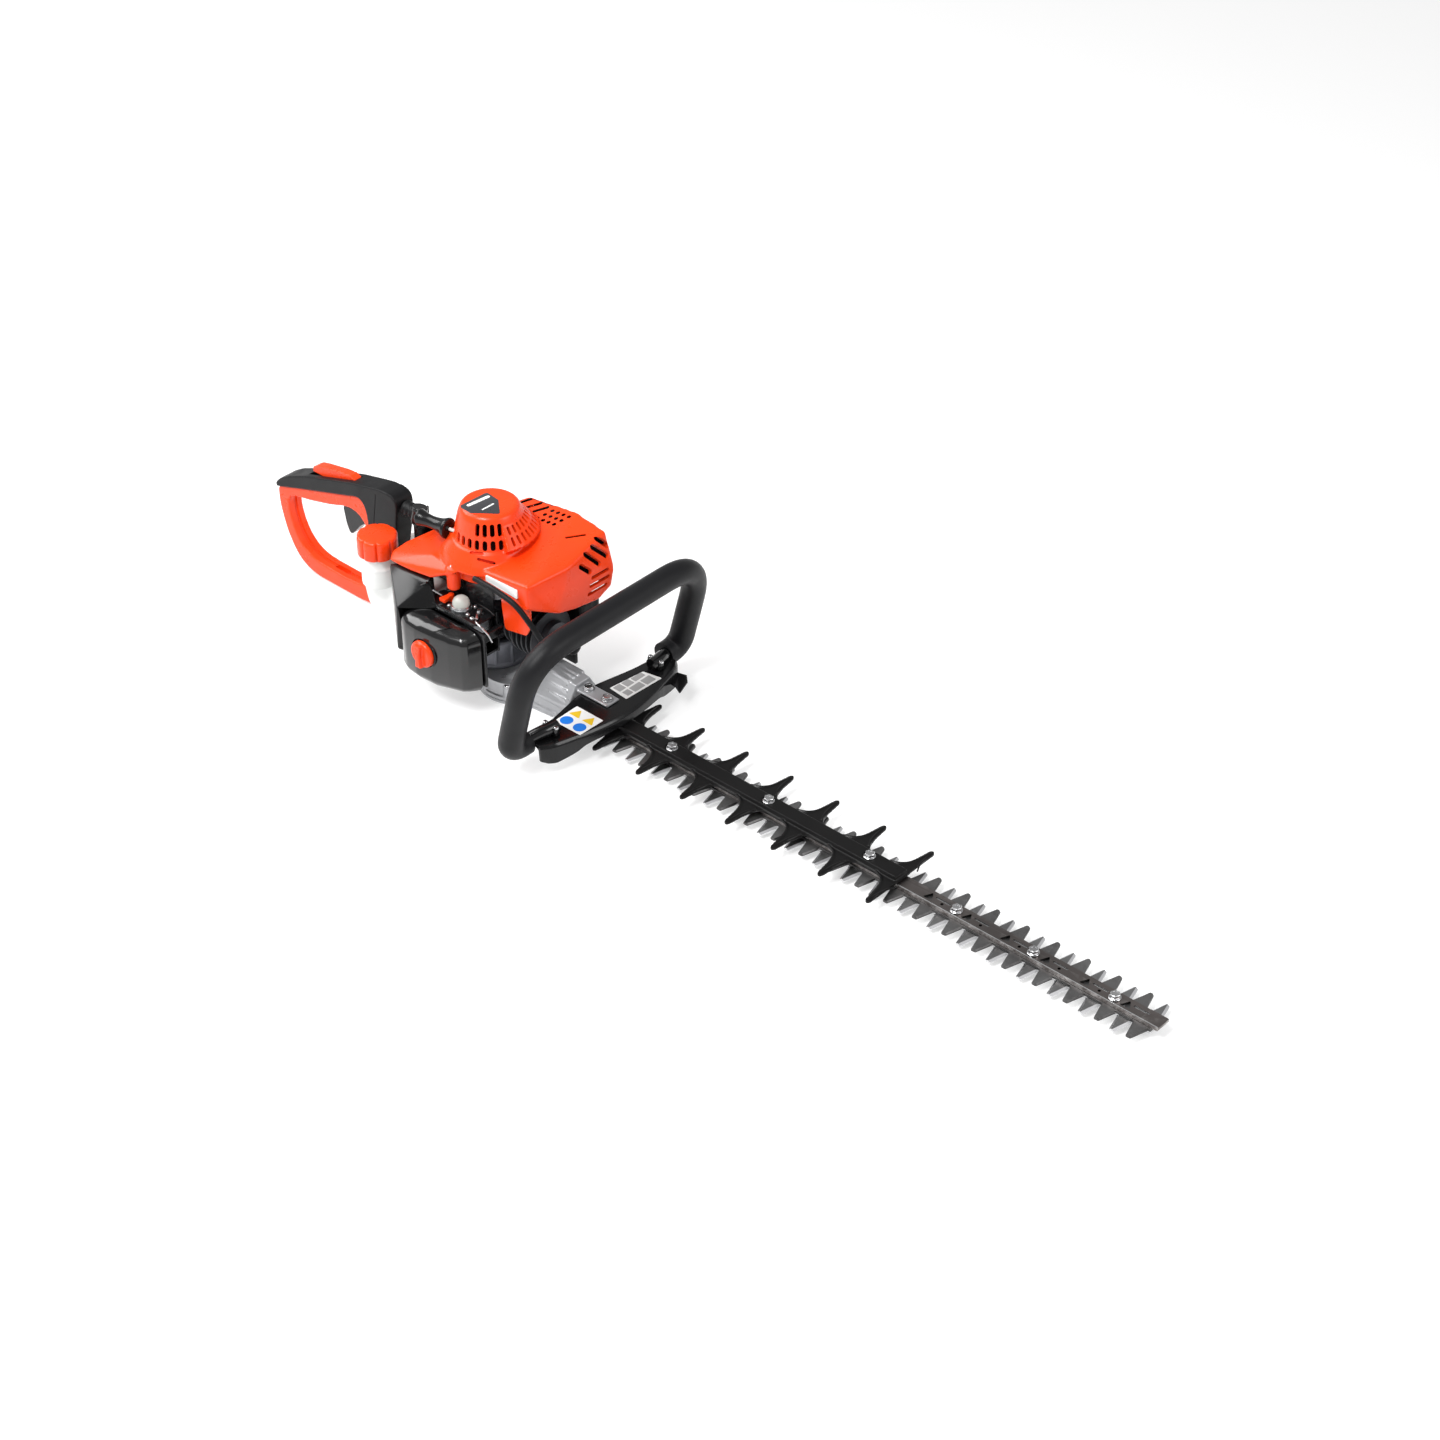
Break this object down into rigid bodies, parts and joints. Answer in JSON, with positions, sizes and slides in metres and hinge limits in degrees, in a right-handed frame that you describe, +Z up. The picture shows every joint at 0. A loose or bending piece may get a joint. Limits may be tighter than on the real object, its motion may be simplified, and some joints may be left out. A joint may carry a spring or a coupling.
{
  "type": "petrol hedge trimmer",
  "caption": "Double-sided petrol hedge trimmer: long reciprocating blades, blade guard, hand guard, front loop handle, orange two-stroke engine and rear D-handle.",
  "frame": {"origin": "on the flat underside of the gear case, the face the machine rests on, on the machine's centre plane a little ahead of the crankshaft axis", "axes": "+X forward along the blades; +Z up, away from the ground it rests on; +Y to the operator's left"},
  "size_m": [1.1625, 0.2736, 0.205],
  "materials": {
    "orange_plastic": "glossy moulded plastic",
    "black_plastic": "glossy moulded plastic",
    "black_rubber": "fine matte grain",
    "filter_foam": "open foam",
    "white_plastic": "slightly translucent blow moulding",
    "clear_plastic": "clear soft plastic",
    "rope_nylon": "braided cord",
    "cast_aluminium": "as cast",
    "bolt_steel": "zinc plated",
    "blade_steel": "ground",
    "dark_blade_steel": "dark hardened",
    "black_coated_steel": "satin coating"
  },
  "bodies": {
    "powerhead": {"air_filter_case": "black_plastic", "air_filter_element": "filter_foam", "blade_bolt_1": "bolt_steel", "blade_bolt_2": "bolt_steel", "blade_bolt_3": "bolt_steel", "blade_bolt_4": "bolt_steel", "blade_bolt_5": "bolt_steel", "blade_bolt_6": "bolt_steel", "blade_guard": "black_coated_steel", "carburetor": "cast_aluminium", "clamp_bolt_1": "bolt_steel", "clamp_bolt_2": "bolt_steel", "clutch_housing": "cast_aluminium", "crankcase": "cast_aluminium", "cylinder": "cast_aluminium", "engine_cover": "orange_plastic", "exhaust_deflector": "black_plastic", "front_handle": "black_rubber", "fuel_hose": "black_rubber", "fuel_tank": "white_plastic", "gear_case_lower": "cast_aluminium", "gear_case_upper": "cast_aluminium", "guide_bar": "dark_blade_steel", "hand_guard": "black_plastic", "ignition_coil": "black_plastic", "ignition_lead": "black_rubber", "intake_manifold": "black_rubber", "mount_bracket": "black_plastic", "muffler": "black_coated_steel", "plug_boot": "black_rubber", "rear_grip": "black_rubber", "rear_handle_left": "orange_plastic", "rear_handle_right": "orange_plastic", "spark_plug": "bolt_steel", "throttle_cable": "black_rubber", "vibration_mount_left": "black_rubber", "vibration_mount_right": "black_rubber", "vibration_mount_upper": "black_rubber"},
    "upper_blade": {"upper_blade": "dark_blade_steel", "upper_blade_rod": "dark_blade_steel"},
    "lower_blade": {"lower_blade": "blade_steel", "lower_blade_rod": "dark_blade_steel"},
    "drive_gear": {"drive_gear": "bolt_steel"},
    "clutch_drum": {"clutch_drum": "bolt_steel"},
    "crank": {"crankshaft": "bolt_steel", "flywheel": "cast_aluminium", "clutch_hub": "cast_aluminium"},
    "piston": {"piston": "cast_aluminium"},
    "starter": {"starter_grip": "black_plastic", "starter_rope": "rope_nylon"},
    "recoil_reel": {"recoil_reel": "black_plastic"},
    "throttle_trigger": {"throttle_trigger": "black_plastic"},
    "throttle_lockout": {"throttle_lockout": "orange_plastic"},
    "throttle_lever": {"throttle_lever": "bolt_steel"},
    "stop_switch": {"stop_switch": "orange_plastic"},
    "choke_lever": {"choke_lever": "orange_plastic"},
    "primer_bulb": {"primer_bulb": "clear_plastic"},
    "fuel_cap": {"fuel_cap": "orange_plastic"},
    "filter_cover": {"air_filter_cover": "black_plastic"},
    "filter_knob": {"air_filter_knob": "orange_plastic"}
  },
  "joints": [
    {"name": "upper_blade_slide", "type": "slide", "parent": "powerhead", "child": "upper_blade", "axis": [1, 0, 0], "range_m": [-0.00875, 0.00875]},
    {"name": "lower_blade_slide", "type": "slide", "parent": "powerhead", "child": "lower_blade", "axis": [1, 0, 0], "range_m": [-0.00875, 0.00875]},
    {"name": "drive_gear_spin", "type": "hinge", "parent": "powerhead", "child": "drive_gear", "pos_m": [-0.0085, 0, 0.014], "axis": [0, 0, 1], "continuous": true},
    {"name": "clutch_drum_spin", "type": "hinge", "parent": "powerhead", "child": "clutch_drum", "pos_m": [-0.045, 0, 0.038], "axis": [0, 0, 1], "continuous": true},
    {"name": "crank_spin", "type": "hinge", "parent": "powerhead", "child": "crank", "pos_m": [-0.045, 0, 0.081], "axis": [0, 0, 1], "continuous": true},
    {"name": "piston_slide", "type": "slide", "parent": "powerhead", "child": "piston", "axis": [1, 0, 0], "range_m": [-0.012, 0.012]},
    {"name": "starter_pull", "type": "slide", "parent": "powerhead", "child": "starter", "axis": [-0.9929, -0.119, 0], "range_m": [0, 0.6], "stiffness_N_per_m": 15, "springref_m": -0.3},
    {"name": "recoil_reel_spin", "type": "hinge", "parent": "powerhead", "child": "recoil_reel", "pos_m": [-0.045, 0, 0.153], "axis": [0, 0, 1], "range_deg": [-1325, 0]},
    {"name": "throttle_trigger_pull", "type": "hinge", "parent": "powerhead", "child": "throttle_trigger", "pos_m": [-0.24, 0, 0.1045], "axis": [0, 1, 0], "range_deg": [0, 15], "stiffness_Nm_per_rad": 0.05, "springref_deg": -22.92},
    {"name": "throttle_lockout_press", "type": "hinge", "parent": "powerhead", "child": "throttle_lockout", "pos_m": [-0.25, 0, 0.14], "axis": [0, -1, 0], "range_deg": [0, 6], "stiffness_Nm_per_rad": 0.1, "springref_deg": -17.19},
    {"name": "throttle_lever_turn", "type": "hinge", "parent": "powerhead", "child": "throttle_lever", "pos_m": [-0.017, -0.047, 0.108], "axis": [0, 0, 1], "range_deg": [0, 45.5]},
    {"name": "stop_switch_slide", "type": "slide", "parent": "powerhead", "child": "stop_switch", "axis": [1, 0, 0], "range_m": [0, 0.004]},
    {"name": "choke_lever_turn", "type": "hinge", "parent": "powerhead", "child": "choke_lever", "pos_m": [-0.056, -0.049, 0.108], "axis": [0, 0, 1], "range_deg": [0, 25]},
    {"name": "primer_press", "type": "slide", "parent": "powerhead", "child": "primer_bulb", "axis": [0, 0, -1], "range_m": [0, 0.004], "stiffness_N_per_m": 250, "springref_m": -0.002},
    {"name": "fuel_cap_turn", "type": "hinge", "parent": "powerhead", "child": "fuel_cap", "pos_m": [-0.168, -0.045, 0.118], "axis": [0, 0, 1], "continuous": true},
    {"name": "filter_cover_off", "type": "slide", "parent": "powerhead", "child": "filter_cover", "axis": [0, -1, 0], "range_m": [0, 0.06]},
    {"name": "filter_knob_turn", "type": "hinge", "parent": "filter_cover", "child": "filter_knob", "pos_m": [-0.05, -0.095, 0.068], "axis": [0, -1, 0], "range_deg": [0, 90]}
  ],
  "couplings": [
    {"joint": "lower_blade_slide", "follows": "upper_blade_slide", "ratio": -1},
    {"joint": "clutch_drum_spin", "follows": "drive_gear_spin", "ratio": -4.4545},
    {"joint": "recoil_reel_spin", "follows": "starter_pull", "rad_per_m": -38.46},
    {"joint": "throttle_lever_turn", "follows": "throttle_trigger_pull", "ratio": 3}
  ]
}
